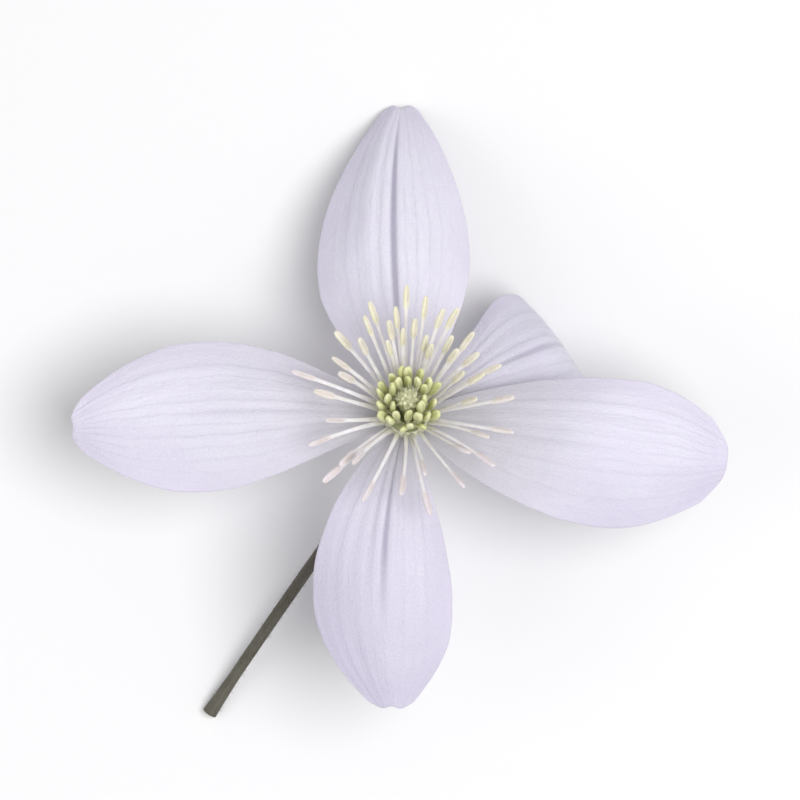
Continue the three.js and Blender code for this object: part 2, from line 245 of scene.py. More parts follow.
def layAlong(bm, rod, spine, side, shape=None, marks=None):
    # adds a copy of a straight rod, bent to follow spine(share). side is the rod's own X direction, shape
    # reworks its section, and marks are named values at its points for the materials to read.
    bent = bmesh.new()
    bent.from_mesh(rod)
    layers = [(bent.verts.layers.float.new(label), value) for label, value in (marks or {}).items()]
    for vert in bent.verts:
        x, y, share = vert.co
        for layer, value in layers:
            vert[layer] = value(x, y, share)
        if shape:
            x, y = shape(x, y, share)
        forward = wayAlong(spine, share)
        outward = (side - forward * side.dot(forward)).normalized()
        vert.co = spine(share) + outward * x + forward.cross(outward) * y
    copy = bpy.data.meshes.new("bentRod")
    bent.to_mesh(copy)
    bent.free()
    bm.from_mesh(copy)
    bpy.data.meshes.remove(copy)


def spinOutline(bm, outline, steps):
    # a turned solid from its half section: (radius, height)
    verts = [bm.verts.new((radius, 0, height)) for radius, height in outline]
    edges = [bm.edges.new(pair) for pair in zip(verts, verts[1:])]
    bmesh.ops.spin(bm, geom=verts + edges, cent=(0, 0, 0), axis=(0, 0, 1), angle=2 * math.pi, steps=steps,
                   use_merge=True)
    bmesh.ops.remove_doubles(bm, verts=bm.verts[:], dist=0.001)
    bmesh.ops.recalc_face_normals(bm, faces=bm.faces[:])


def finishPiece(bm, name, node, materials):
    bm.transform(poseMatrix())
    mesh = bpy.data.meshes.new(name)
    bm.to_mesh(mesh)
    bm.free()
    for material in materials:
        mesh.materials.append(material)
    mesh.polygons.foreach_set("use_smooth", [True] * len(mesh.polygons))
    piece = bpy.data.objects.new(name, mesh)
    scene.collection.objects.link(piece)
    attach(piece, "root")
    if node:
        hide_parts(node)
    return piece


def soften(piece):
    smooth = piece.modifiers.new("smooth", "SUBSURF")
    smooth.levels = smooth.render_levels = 1


def quadratic(root, knee, tip):
    return lambda t: root * (1 - t) ** 2 + knee * (2 * t * (1 - t)) + tip * t ** 2


def polar(azimuth, outward, forward):
    angle = math.radians(azimuth)
    return Vector((outward * math.cos(angle), outward * math.sin(angle), forward))


def seededDraw(seed):
    # the same run of numbers that places the solids' stamens
    state = seed
    while True:
        state = (state * 16807) % 2147483647
        yield state / 2147483647


# azimuth is the way the base points and swing turns the tip from there. rise and fall are the slopes of
# the middle line at base and tip. seat moves the base forwards. widestAt is a share of the length, and
# baseShare and tipShare are shares of the width. A taper over 1 keeps the outer part full. camber lowers
# the margins and ruffle is the height of their waves. notch and corner cut the tip back. midrib is how
# strongly the pair of ribs beside the midline stands up, and ribReach how far along they run. fold is where
# one side bends down, as a share of the half width, and how steeply.
# The tint is how much greyer and more lilac the sepal is at its base and at its tip: partly its own lilac,
# and partly painted shade on a sepal turned from the light. The flank adds painted shade on one side, where
# the sepal falls away from the light: which side, where it begins, where it is full and how much. The inner
# shade is painted shade over the inner part near the core: how much, as far as where, and where that ends.
sepals = {
    "sepal_top": dict(
        azimuth=97, swing=-6.3, length=34, rise=8, fall=-41, bendPower=1, twist=3, seat=0,
        width=14.9, widestAt=0.42, baseShare=0.2, basePower=0.9, tipShare=0.17, taper=1,
        camber=1.1, ruffle=0.35, waves=1.7, notch=0.022, corner=0.03, midrib=1.25, fold=(0.3, 0.5),
        ribReach=1.3, tintAndShade=(0, 0.12), shadedFlank=(1, 0.28, 0.5, 0.42), innerShade=(0.2, 0.08, 0.68)),
    "sepal_left": dict(
        azimuth=179, swing=2, length=31, rise=15, fall=-24, bendPower=1, twist=-6, seat=0,
        width=14.8, widestAt=0.57, baseShare=0.22, basePower=1.15, tipShare=0.22, taper=1.2,
        camber=1.7, ruffle=0.45, waves=1.3, notch=0.011, corner=0.04, midrib=0.35, fold=(0, 0),
        ribReach=0.8, tintAndShade=(0.05, 0), shadedFlank=(1, -0.5, 0.8, 0.32), innerShade=(1, 0.08, 0.7)),
    "sepal_bottom": dict(
        azimuth=256, swing=11, length=26.8, rise=12, fall=-30, bendPower=1, twist=-4, seat=0,
        width=13.6, widestAt=0.6, baseShare=0.2, basePower=0.95, tipShare=0.22, taper=1.2,
        camber=1.6, ruffle=0.4, waves=1.6, notch=0.013, corner=0.03, midrib=1.25, fold=(0, 0),
        ribReach=0.75, tintAndShade=(0.48, 0.72), shadedFlank=(-1, -0.3, 0.5, 0.22), innerShade=(0.34, 0.08, 0.5)),
    "sepal_right": dict(
        azimuth=-15, swing=8, length=29.7, rise=14, fall=-26, bendPower=1, twist=4, seat=0,
        width=14.8, widestAt=0.6, baseShare=0.24, basePower=0.92, tipShare=0.36, taper=1.2,
        camber=1.5, ruffle=0.4, waves=1.4, notch=0, corner=0.07, midrib=0.3, fold=(0, 0),
        ribReach=0.7, tintAndShade=(0.22, 0.2), shadedFlank=(-1, -0.4, 0.8, 0.4), innerShade=(1.08, 0.24, 0.62)),
    "sepal_curled": dict(
        azimuth=31, swing=0, length=24.7, rise=4, fall=-120, bendPower=1.6, twist=-4, seat=-1.15,
        width=13.6, widestAt=0.6, baseShare=0.15, basePower=1.5, tipShare=0.16, taper=1.2,
        camber=0.9, ruffle=0.3, waves=1.5, notch=0.01, corner=0.04, midrib=0.8, fold=(0, 0),
        ribReach=1, tintAndShade=(0.36, 0.05), shadedFlank=(1, -0.3, 0.5, 0.3), innerShade=(0.8, 0.08, 0.62)),
}
sepalBlade = {
    "acrossCells": 46, "alongCells": 64, "lineSteps": 24, "baseReach": 2.3, "seatHeight": -0.5,
    # the thickness in the middle, the share of it at the margin, and where it thins across and along
    "thickness": 0.42, "marginShare": 0.45, "thinsAcross": (0.55, 1), "thinsAlong": (0.8, 1),
    # the base is drawn in under the stamens by rootDepth, over its first rootRun
    "rootDepth": 0.45, "rootRun": 0.1,
    "notchWidth": 0.4, "notchPower": 12, "foldRun": (0.05, 0.5), "foldRound": 0.003,
    "ribAt": 0.115, "ribHeight": 0.26, "ribWidth": 0.065, "ribFades": 0.35,
    # the fainter veins on each side: how far out as a share of the half width, how high and how wide
    "veins": ((0.34, 0.1, 0.05), (0.58, 0.085, 0.05), (0.8, 0.05, 0.045)),
    # unevenness: how high it is, and how quickly it changes across and along
    "pucker": (0.2, 2.2, 5), "crinkle": (0.05, 7, 10),
    "ruffleLag": 1.1, "nibble": 0.012, "nibbleRate": 14,
    "tintRun": (0.35, 0.95), "flankShadeRun": (0.25, 0.6),
}
sepalFinish = {
    # the tinted colour is partly the sepal's own greyer lilac and partly painted shade
    "lilac": (0.645, 0.595, 0.745, 1), "tintedAndShaded": (0.50, 0.475, 0.58, 1), "vein": (0.56, 0.535, 0.665, 1),
    # the groove and shade colours are painted shade, and the base colour is partly the sepal's own grey and
    # partly painted shade
    "groove": (0.36, 0.34, 0.44, 1), "shade": (0.50, 0.485, 0.535, 1), "base": (0.46, 0.46, 0.44, 1),
    "flush": (0.45, 0.29, 0.36, 1),
    "edgeAmount": 0.5, "blotchAmount": 0.25, "grooveShadeAmount": 0.85, "shadeAmount": 0.72, "baseAmount": 0.45,
    # where each colour or line begins and is full, across from the midline or along from the base
    "marginPower": 4.0, "tipAlong": (0.75, 1.03), "baseAlong": (0.3, 0.0), "veinsAcross": (1.0, 0.55),
    "grooveAcross": (0.08, 0.02), "grooveAlong": (1.0, 0.8), "flushAcross": (0.5, 0.0),
    "flushAlong": (0.75, 0.0),
    "veinCount": 13.0, "veinWander": 0.06, "veinWidth": 0.2, "veinFaintest": 0.4, "veinRelief": 0.7,
    "netRelief": 0.3, "roughness": (0.46, 0.6), "specular": 0.35, "sheen": 0.08,
    "subsurface": 0.25, "radius": (1.0, 0.85, 1.0), "depth": 0.0006,
}
# the ground colour of each face, and how strongly the veins, their net and a flush show on it
sepalSides = {
    "sepalFront": {"ground": (0.745, 0.73, 0.82, 1), "vein": 0.36, "net": 0.1, "flush": 0},
    "sepalBack": {"ground": (0.66, 0.64, 0.73, 1), "vein": 0.45, "net": 0.18, "flush": 0.6},
}


def sepalMaterial(name, side):
    finish = sepalFinish
    material, tree, shader, skin = tissueMaterial(name, blotchScale=190, cellScale=5200)
    uvMap = add(tree, "ShaderNodeUVMap", uv_map="sepalMap").outputs[0]
    line = place(tree, veins, {"Map": uvMap, "Count": finish["veinCount"], "Wander": finish["veinWander"],
                               "Width": finish["veinWidth"]})
    across, along, blotch = line["Across"], line["Along"], skin["Blotch"]
    # lilac towards the margin and the tip, and in soft blotches
    margin = maths(tree, "POWER", across, finish["marginPower"])
    edge = maths(tree, "ADD", margin, rangeOf(tree, along, *finish["tipAlong"]), clamp=True)
    colour = stain(tree, side["ground"], edge, finish["edgeAmount"], finish["lilac"])
    colour = stain(tree, colour, blotch, finish["blotchAmount"], finish["lilac"])
    # a greyer lilac: partly the sepal's own colour, partly painted shade over the whole sepal and on one
    # flank
    colour = mixColour(tree, mark(tree, "tintAndShade"), colour, finish["tintedAndShaded"])
    # the veins come and go, and fade out towards the margin
    patchy = rangeOf(tree, blotch, 1.0, 0.0, finish["veinFaintest"])
    fade = times(tree, rangeOf(tree, across, *finish["veinsAcross"]), patchy)
    shown = times(tree, line["Veins"], fade)
    colour = stain(tree, colour, shown, side["vein"], finish["vein"])
    colour = stain(tree, colour, line["Net"], side["net"], finish["vein"])
    # painted shade in the groove between the two ribs
    groove = times(tree, rangeOf(tree, across, *finish["grooveAcross"]),
                   rangeOf(tree, along, *finish["grooveAlong"]))
    groove = times(tree, groove, mark(tree, "midrib"))
    colour = stain(tree, colour, groove, finish["grooveShadeAmount"], finish["groove"])
    # painted shade over the inner part of the sepal, near the core
    colour = stain(tree, colour, mark(tree, "innerShade"), finish["shadeAmount"], finish["shade"])
    # greyer at the very base: partly the sepal's own colour where it meets the receptacle, partly painted
    # shade under the stamens
    baseGreyAndShade = rangeOf(tree, along, *finish["baseAlong"])
    colour = stain(tree, colour, baseGreyAndShade, finish["baseAmount"], finish["base"])
    if side["flush"]:
        # the backs are flushed along the midrib and at the base
        flush = times(tree, rangeOf(tree, across, *finish["flushAcross"]),
                      rangeOf(tree, along, *finish["flushAlong"]))
        colour = stain(tree, colour, flush, side["flush"], finish["flush"])
    setInputs(tree, shader, {
        "Base Color": colour, "Roughness": rangeOf(tree, blotch, 0.0, 1.0, *finish["roughness"]),
        "Specular IOR Level": finish["specular"], "Sheen Weight": finish["sheen"],
    })
    setTranslucence(tree, shader, finish)
    relief = maths(tree, "ADD", times(tree, shown, finish["veinRelief"]), skin["Height"])
    relief = maths(tree, "ADD", relief, times(tree, line["Net"], finish["netRelief"]))
    setRelief(tree, shader, relief, depth=0.00005, strength=0.7)
    return material


def halfWidth(sepal, share):
    widest = sepal["widestAt"]
    share = max(0, share)
    if share < widest:
        swell = math.sin(math.pi / 2 * (share / widest) ** sepal["basePower"])
        portion = mixed(sepal["baseShare"], 1, swell)
    else:
        taper = math.cos(math.pi / 2 * ((share - widest) / (1 - widest)) ** sepal["taper"])
        portion = mixed(sepal["tipShare"], 1, taper)
    return sepal["width"] / 2 * portion


def slopeAt(sepal, share):
    return math.radians(mixed(sepal["rise"], sepal["fall"], max(0, share) ** sepal["bendPower"]))


def middleLine(sepal, share):
    steps = sepalBlade["lineSteps"]
    length = sepal["length"] * share / steps
    outward, forward = sepalBlade["baseReach"], sepalBlade["seatHeight"] + sepal["seat"]
    for step in range(steps):
        slope = slopeAt(sepal, share * (step + 0.5) / steps)
        outward += length * math.cos(slope)
        forward += length * math.sin(slope)
    return outward, forward


def ribStrength(sepal, share):
    reach = sepal["ribReach"]
    return sepal["midrib"] * (1 - smoothStep(sepalBlade["ribFades"] * reach, reach, share))


def unevenness(kind, across, along, seed):
    height, crossRate, longRate = sepalBlade[kind]
    return height * noise.noise(Vector((across * crossRate, along * longRate, seed)))


def sepalPoint(sepal, along, across, seed):
    # across runs from -1 to 1 between the margins and along from 0 at the base to 1 at the tip
    blade = sepalBlade
    along -= blade["rootDepth"] / sepal["length"] * max(0, 1 - along / blade["rootRun"])
    cutBack = sepal["notch"] * bump(across, 0, blade["notchWidth"]) + sepal["corner"] * across ** 4
    share = along * (1 - cutBack * along ** blade["notchPower"])
    outward, forward = middleLine(sepal, share)
    slope = slopeAt(sepal, share)
    heading = math.radians(sepal["azimuth"] + sepal["swing"] * share)
    radial = Vector((math.cos(heading), math.sin(heading), 0))
    side = Vector((-math.sin(heading), math.cos(heading), 0))
    normal = Vector((-math.sin(slope) * radial.x, -math.sin(slope) * radial.y, math.cos(slope)))
    lean = math.radians(sepal["twist"]) * share
    crosswise = side * math.cos(lean) + normal * math.sin(lean)
    outOfFace = normal * math.cos(lean) - side * math.sin(lean)
    half = halfWidth(sepal, share)
    fullness = 2 * half / sepal["width"]
    reach = abs(across)
    # ribs, veins and waves, which die away at the base and the tip
    fade = math.sqrt(math.sin(math.pi * min(0.98, max(0.02, share))))
    relief = sum(height * bump(reach, at, width) for at, height, width in blade["veins"])
    relief += ribStrength(sepal, share) * blade["ribHeight"] * bump(reach, blade["ribAt"], blade["ribWidth"])
    wave = math.sin(2 * math.pi * sepal["waves"] * share + math.copysign(blade["ruffleLag"], across))
    relief += sepal["ruffle"] * reach ** 3 * wave
    relief += unevenness("pucker", across, along, seed) + unevenness("crinkle", across, along, seed + 5)
    height = relief * fade - sepal["camber"] * (across * fullness) ** 2
    foldAt, foldSlope = sepal["fold"]
    past = across - foldAt
    folded = smoothStep(*blade["foldRun"], share) * fade
    height -= foldSlope * half * 0.5 * (past + math.sqrt(past ** 2 + blade["foldRound"])) * folded
    # a slightly uneven margin
    ragged = noise.noise(Vector((along * blade["nibbleRate"], math.copysign(3, across), seed)))
    half *= 1 + blade["nibble"] * ragged * reach ** 4
    return radial * outward + Vector((0, 0, forward)) + crosswise * (half * across) + outOfFace * height


def makeSepal(node, sepal, seed, materials):
    blade = sepalBlade
    bm = bmesh.new()
    bm.loops.layers.uv.new("sepalMap")
    bmesh.ops.create_grid(bm, x_segments=blade["acrossCells"], y_segments=blade["alongCells"], size=0.5,
                          calc_uvs=True)
    midrib, tintAndShade, innerShade = [bm.verts.layers.float.new(label) for label in ("midrib", "tintAndShade", "innerShade")]
    flankSide, flankFrom, flankFull, flankShade = sepal["shadedFlank"]
    innerShadeDepth, innerShadeFrom, innerShadeEnd = sepal["innerShade"]
    nearMargin = []
    for vert in bm.verts:
        across, along = -2 * vert.co.x, vert.co.y + 0.5
        nearMargin.append(max(abs(across), smoothStep(*blade["thinsAlong"], along)))
        onShadedFlank = smoothStep(flankFrom, flankFull, flankSide * across)
        vert[midrib] = min(1, ribStrength(sepal, along))
        # the tint: partly the sepal's own lilac, partly painted shade on sepals turned from the light
        vert[tintAndShade] = mixed(*sepal["tintAndShade"], smoothStep(*blade["tintRun"], along))
        # painted shade on one flank, where the sepal falls away from the light, added to the tint
        vert[tintAndShade] += flankShade * onShadedFlank * smoothStep(*blade["flankShadeRun"], along)
        # painted shade over the inner part, near the core
        vert[innerShade] = innerShadeDepth * (1 - smoothStep(innerShadeFrom, innerShadeEnd, along))
        vert.co = sepalPoint(sepal, along, across, seed)
    piece = finishPiece(bm, node + "_blade", node, materials)
    body = piece.vertex_groups.new(name="body")
    for index, nearness in enumerate(nearMargin):
        thinned = smoothStep(*blade["thinsAcross"], nearness)
        body.add([index], mixed(1, blade["marginShare"], thinned), "REPLACE")
    solid = piece.modifiers.new("blade", "SOLIDIFY")
    solid.thickness = blade["thickness"] * mm
    solid.offset = 0
    solid.vertex_group = "body"
    solid.material_offset = 1
    soften(piece)


sepalFaces = [sepalMaterial(name, side) for name, side in sepalSides.items()]
for number, (node, sepal) in enumerate(sepals.items()):
    makeSepal(node, sepal, 11.3 * number, sepalFaces)
print("sepals done")


# The spreading stamens run from the steep first ones to the flat last ones. Those towards favourAzimuth
# are steeper, longer and fresher, and gather draws their neighbours to that side.
outerSet = {
    "count": 42, "seed": 4217, "ringInner": 1.85, "ringOuter": 2.45, "ringTop": 1.1, "rootRadius": 2.14,
    "rootHeight": 0.75, "steepest": 33, "slopeRange": 41, "shortest": 8.2, "lengthRange": 2.4,
    "favourAzimuth": 76, "favourSlope": -14, "favourLength": 0.4, "gather": 27, "antherLength": 2.3,
    "antherRadius": 0.34, "filamentRadius": 0.2, "rootLean": 12, "rootLeanShare": 0.5,
    "azimuthJitter": 10, "slopeJitter": 8, "lengthJitter": 1.6,
    # age runs from 0, fresh, to 1: its middle value, and what the tier and the favoured side add
    "age": 0.55, "tierAge": 0.3, "favourAge": -0.75, "size": 1,
    # unevenness from one stamen to the next: how much, and its step
    "uneven": {"age": (0.2, 3.7), "size": (0.14, 5.1), "bow": (0.35, 4.3), "roll": (40, 2.4)},
    "filament": (0.82, 0.79, 0.82, 1), "foot": (0.60, 0.60, 0.46, 1), "anther": (0.81, 0.79, 0.60, 1),
    "aged": (0.73, 0.67, 0.72, 1), "seam": (0.62, 0.55, 0.54, 1),
}
# The upright stamens of the core. Each row has its count, their length, and their slopes at root and tip.
innerSet = {
    "seed": 911, "rows": ((17, 6.3, 24, 11), (12, 7.0, 12, 0)), "ringInner": 0.92, "ringOuter": 1.42,
    "ringTop": 1.3, "rootRadius": 1.17, "rootHeight": 0.8, "antherLength": 3.0, "antherRadius": 0.48,
    "filamentRadius": 0.22, "azimuthJitter": 6, "lengthJitter": 0.6, "age": 0.5, "size": 0.96,
    "uneven": {"azimuth": (4.5, 2.3), "length": (0.3, 4.1), "tilt": (4, 3.3), "age": (0.5, 2.9),
               "size": (0.12, 5.3), "roll": (50, 1.7), "bow": (0.2, 2.7)},
    "filament": (0.74, 0.74, 0.52, 1), "foot": (0.62, 0.64, 0.38, 1), "anther": (0.80, 0.80, 0.50, 1),
    "aged": (0.66, 0.69, 0.36, 1), "seam": (0.54, 0.56, 0.27, 1),
}
stamenForm = {
    # outlines: the share of the filament or the anther, and the share of its radius
    "filamentOutline": ((0, 1.6), (0.12, 1.2), (0.3, 1), (0.5, 0.92), (0.75, 0.86), (0.94, 0.9), (1, 1)),
    "antherOutline": ((0.07, 0.8), (0.18, 1), (0.45, 1.04), (0.72, 1), (0.9, 0.82), (0.98, 0.5), (1, 0.28)),
    "sides": 10, "kneeShare": 0.45, "ringFoot": 0.1,
    # shares of the length over which the anther swells, its colour begins, and the foot's colour ends
    "swellRun": 0.06, "antherRun": (-0.02, 0.05), "seamRun": 0.05, "footRun": 0.25,
    # the filament is a flat ribbon, and the anther has a groove down its face and another behind
    "ribbonWidth": 1.15, "ribbonDepth": 0.6, "grooveDepth": 0.42, "groovePower": 5, "seamPower": 8,
    "seamAmount": 0.7, "darkening": (0.80, 0.79, 0.74, 1), "darkAmount": 0.6,
    "subsurface": 0.35, "radius": (1.0, 0.95, 0.6), "depth": 0.0006, "roughness": (0.5, 0.75),
}


def stamenMaterial(name, finish):
    material, tree, shader, skin = tissueMaterial(name, blotchScale=700, cellScale=9000)
    onAnther = mark(tree, "anther")
    anther = mixColour(tree, mark(tree, "age"), finish["anther"], finish["aged"])
    colour = mixColour(tree, onAnther, finish["filament"], anther)
    colour = stain(tree, colour, mark(tree, "seam"), stamenForm["seamAmount"], finish["seam"])
    colour = mixColour(tree, mark(tree, "raised"), finish["foot"], colour)
    darker = mixColour(tree, 1.0, colour, stamenForm["darkening"], "MULTIPLY")
    colour = stain(tree, colour, skin["Blotch"], stamenForm["darkAmount"], darker)
    roughness = rangeOf(tree, onAnther, 0.0, 1.0, *stamenForm["roughness"])
    setInputs(tree, shader, {"Base Color": colour, "Roughness": roughness})
    setTranslucence(tree, shader, stamenForm)
    setRelief(tree, shader, skin["Height"], depth=0.000025, strength=0.7)
    return material


def antherStart(finish, length):
    return 1 - finish["antherLength"] / length


def stamenRod(finish, length, size):
    start = antherStart(finish, length)
    thin, thick = finish["filamentRadius"], finish["antherRadius"] * size
    stations = [(start * share, thin * width) for share, width in stamenForm["filamentOutline"]]
    stations += [(mixed(start, 1, share), thick * width) for share, width in stamenForm["antherOutline"]]
    return growRod(stations, stamenForm["sides"])


def stamenShape(start):
    def shape(x, y, share):
        anther = smoothStep(start, start + stamenForm["swellRun"], share)
        radius = math.hypot(x, y)
        facing = abs(y) / radius if radius else 0
        groove = 1 - stamenForm["grooveDepth"] * anther * facing ** stamenForm["groovePower"]
        return (x * groove * mixed(stamenForm["ribbonWidth"], 1, anther),
                y * groove * mixed(stamenForm["ribbonDepth"], 1, anther))
    return shape


def stamenMarks(start, age):
    before, after = stamenForm["antherRun"]

    def seam(x, y, share):
        onAnther = smoothStep(start, start + stamenForm["seamRun"], share)
        return onAnther * (y / math.hypot(x, y)) ** stamenForm["seamPower"]

    return {
        "age": lambda x, y, share: age,
        "anther": lambda x, y, share: smoothStep(start + before, start + after, share),
        "raised": lambda x, y, share: smoothStep(0, stamenForm["footRun"], share),
        "seam": seam,
    }


def addRing(bm, finish):
    # the low rounded ring that a set of stamens grows from
    foot = stamenForm["ringFoot"]
    width, height = finish["ringOuter"] - finish["ringInner"], finish["ringTop"] + foot
    section = bmesh.ops.create_circle(bm, segments=12, radius=0.5)["verts"]
    bmesh.ops.scale(bm, vec=(width, height, 1), verts=section)
    bmesh.ops.rotate(bm, cent=(0, 0, 0), matrix=Matrix.Rotation(math.pi / 2, 3, "X"), verts=section)
    centre = Vector((finish["ringInner"] + width / 2, 0, height / 2 - foot))
    bmesh.ops.translate(bm, vec=centre, verts=section)
    bmesh.ops.spin(bm, geom=bm.verts[:] + bm.edges[:], cent=(0, 0, 0), axis=(0, 0, 1), angle=2 * math.pi,
                   steps=48, use_merge=True)
    bmesh.ops.recalc_face_normals(bm, faces=bm.faces[:])


def makeStamens(name, node, finish, layout):
    bm = bmesh.new()
    addRing(bm, finish)
    for azimuth, lean, spread, length, roll, age, size, bow in layout:
        rod = stamenRod(finish, length, size)
        start = antherStart(finish, length)
        root = polar(azimuth, finish["rootRadius"], finish["rootHeight"])
        lower, upper = length * stamenForm["kneeShare"], length * (1 - stamenForm["kneeShare"])
        lean, spread = math.radians(lean), math.radians(spread)
        knee = root + polar(azimuth, lower * math.sin(lean), lower * math.cos(lean))
        tip = knee + polar(azimuth, upper * math.sin(spread), upper * math.cos(spread))
        side = Matrix.Rotation(math.radians(roll), 3, (tip - root).normalized()) @ polar(azimuth + 90, 1, 0)
        knee += polar(azimuth + 90, bow, 0)
        layAlong(bm, rod, quadratic(root, knee, tip), side, stamenShape(start), stamenMarks(start, age))
        bpy.data.meshes.remove(rod)
    soften(finishPiece(bm, name, node, [stamenMaterial(name + "Finish", finish)]))


def uneven(finish, what, index, shift=0):
    # a small difference from one stamen to the next, the same on each run
    amount, step = finish["uneven"][what]
    return amount * math.sin(index * step + shift)


def outerLayout():
    form = outerSet
    draw = seededDraw(form["seed"])
    for index in range(form["count"]):
        tier = (index + 0.5) / form["count"]
        even = index * goldenAngle + form["azimuthJitter"] * (next(draw) - 0.5)
        azimuth = even - form["gather"] * math.sin(math.radians(even - form["favourAzimuth"]))
        favour = math.cos(math.radians(azimuth - form["favourAzimuth"]))
        slope = form["steepest"] + form["slopeRange"] * tier + form["favourSlope"] * favour
        spread = slope + form["slopeJitter"] * (next(draw) - 0.5)
        lean = form["rootLean"] + spread * form["rootLeanShare"]
        reach = form["shortest"] + form["lengthRange"] * tier + form["favourLength"] * favour
        length = reach + form["lengthJitter"] * (next(draw) - 0.5)
        age = form["age"] + form["tierAge"] * tier + form["favourAge"] * favour + uneven(form, "age", index)
        age = min(1, max(0, age))
        size = form["size"] + uneven(form, "size", index)
        roll, bow = uneven(form, "roll", index), uneven(form, "bow", index)
        yield azimuth, lean, spread, length, roll, age, size, bow


def innerLayout():
    # the solids' places, loosened a little
    form = innerSet
    draw = seededDraw(form["seed"])
    for count, rowLength, lean, spread in form["rows"]:
        for index in range(count):
            azimuth = 360 * index / count + form["azimuthJitter"] * (next(draw) - 0.5)
            azimuth += uneven(form, "azimuth", index, lean)
            length = rowLength + form["lengthJitter"] * (next(draw) - 0.5)
            length += uneven(form, "length", index, lean)
            tilt = uneven(form, "tilt", index, lean)
            age = form["age"] + uneven(form, "age", index, lean)
            size = form["size"] + uneven(form, "size", index, lean)
            roll, bow = uneven(form, "roll", index), uneven(form, "bow", index)
            yield azimuth, lean + tilt / 2, spread + tilt, length, roll, age, size, bow


makeStamens("outerStamens", "stamens_outer", outerSet, outerLayout())
makeStamens("innerStamens", "stamens_inner", innerSet, innerLayout())

pistilForm = {
    "count": 19, "seed": 57, "rootSpread": 0.42, "tipSpread": 0.96, "rootHeight": 1.0, "height": 7.3,
    "heightFall": 0.9, "heightJitter": 0.4, "rootRadius": 0.2, "fullRadius": 0.26, "sides": 10,
    # the style's outline: the share of its height, and the share of the root's or of the full radius
    "rootOutline": ((0, 1), (0.25, 0.95), (0.45, 1)),
    "fullOutline": ((0.65, 0.88), (0.8, 1), (0.9, 1.02), (0.96, 0.9), (0.99, 0.65), (1, 0.3)),
    "dome": ((0, -0.1), (0.6, -0.1), (0.6, 1.3), (0.42, 1.85), (0, 2.1)), "domeSteps": 20,
    # silky hairs that stand up along the styles, most of them near the tips
    "hairs": 1000, "hairSeed": 12, "hairLength": 1.2, "hairRadius": 0.024, "hairShortest": 0.6,
    "hairRun": 0.7, "hairGather": 1.6, "hairTop": 0.7, "hairSpread": 0.7, "hairBow": 0.05,
    "hairOutline": ((0, 1), (0.5, 0.8), (1, 0.2)),
    "green": (0.64, 0.66, 0.34, 1), "tip": (0.82, 0.82, 0.58, 1), "silk": (0.93, 0.93, 0.72, 1),
    "darkening": (0.76, 0.77, 0.68, 1), "darkAmount": 0.6, "roughness": (0.5, 0.7),
}


def pistilMaterial():
    form = pistilForm
    material, tree, shader, skin = tissueMaterial("pistilFinish", blotchScale=900, cellScale=9000)
    colour = mixColour(tree, mark(tree, "tip"), form["green"], form["tip"])
    colour = mixColour(tree, mark(tree, "silk"), colour, form["silk"])
    darker = mixColour(tree, 1.0, colour, form["darkening"], "MULTIPLY")
    colour = stain(tree, colour, skin["Blotch"], form["darkAmount"], darker)
    roughness = rangeOf(tree, skin["Blotch"], 0.0, 1.0, *form["roughness"])
    setInputs(tree, shader, {"Base Color": colour, "Roughness": roughness})
    setRelief(tree, shader, skin["Height"], depth=0.00003, strength=0.7)
    return material


def makePistil():
    form = pistilForm
    bm = bmesh.new()
    spinOutline(bm, form["dome"], form["domeSteps"])
    stations = [(share, form["rootRadius"] * width) for share, width in form["rootOutline"]]
    stations += [(share, form["fullRadius"] * width) for share, width in form["fullOutline"]]
    style = growRod(stations, form["sides"])
    draw = seededDraw(form["seed"])
    spines = []
    for index in range(form["count"]):
        azimuth = index * goldenAngle
        share = math.sqrt((index + 0.5) / form["count"])
        root = polar(azimuth, form["rootSpread"] * share, form["rootHeight"])
        height = form["height"] - form["heightFall"] * share + form["heightJitter"] * (next(draw) - 0.5)
        tip = polar(azimuth, form["tipSpread"] * share, height)
        spines.append(quadratic(root, root.lerp(tip, 0.5), tip))
        layAlong(bm, style, spines[-1], polar(azimuth + 90, 1, 0),
                 marks={"tip": lambda x, y, along: smoothStep(0.5, 1, along)})
    hair = growRod([(share, form["hairRadius"] * width) for share, width in form["hairOutline"]], 3)
    chance = random.Random(form["hairSeed"])
    for _ in range(form["hairs"]):
        start = chance.choice(spines)(1 - form["hairRun"] * chance.random() ** form["hairGather"])
        start.z = min(start.z, form["height"] - form["hairLength"] * form["hairTop"])
        spread = form["hairSpread"]
        way = Vector((chance.uniform(-spread, spread), chance.uniform(-spread, spread), 1)).normalized()
        end = start + way * form["hairLength"] * chance.uniform(form["hairShortest"], 1)
        middle = start.lerp(end, 0.5) + Vector((0, 0, form["hairBow"]))
        layAlong(bm, hair, quadratic(start, middle, end), Vector((1, 0, 0)),
                 marks={"silk": lambda x, y, along: 1})
    finishPiece(bm, "carpels", "pistil", [pistilMaterial()])


makePistil()
print("stamens and carpels done")


# The stalk leads off towards azimuth. It starts just under the receptacle's top, bows through bendAngle
# from bendStart, and runs on nearly straight with a small sideways bow.
stalkForm = {
    "azimuth": 231, "radius": 0.56, "neckRadius": 0.8, "neckShare": 0.16, "heelRadius": 0.74,
    "heelShare": 0.12, "bendRadius": 8, "bendAngle": 65, "run": 29.5, "bow": 0.6,
    "start": -0.96, "bendStart": -2.2, "sides": 18, "rings": 90, "cutCrease": 0.8,
    # shallow lengthwise ridges, and a slight unevenness from ring to ring
    "ridges": 6, "ridgeHeight": 0.035, "lumpHeight": 0.03, "lumpRate": 22,
    # maroon at the flower, and olive from the end of this run
    "maroonRun": (0.1, 0.75), "darkAmount": 0.55, "ridgeAmount": 0.35,
    "maroon": (0.1, 0.045, 0.056, 1), "olive": (0.092, 0.085, 0.066, 1), "dark": (0.04, 0.028, 0.028, 1),
    "green": (0.16, 0.17, 0.085, 1), "cut": (0.46, 0.5, 0.26, 1), "pith": (0.66, 0.66, 0.5, 1),
    "crown": (0.58, 0.6, 0.34, 1),
}
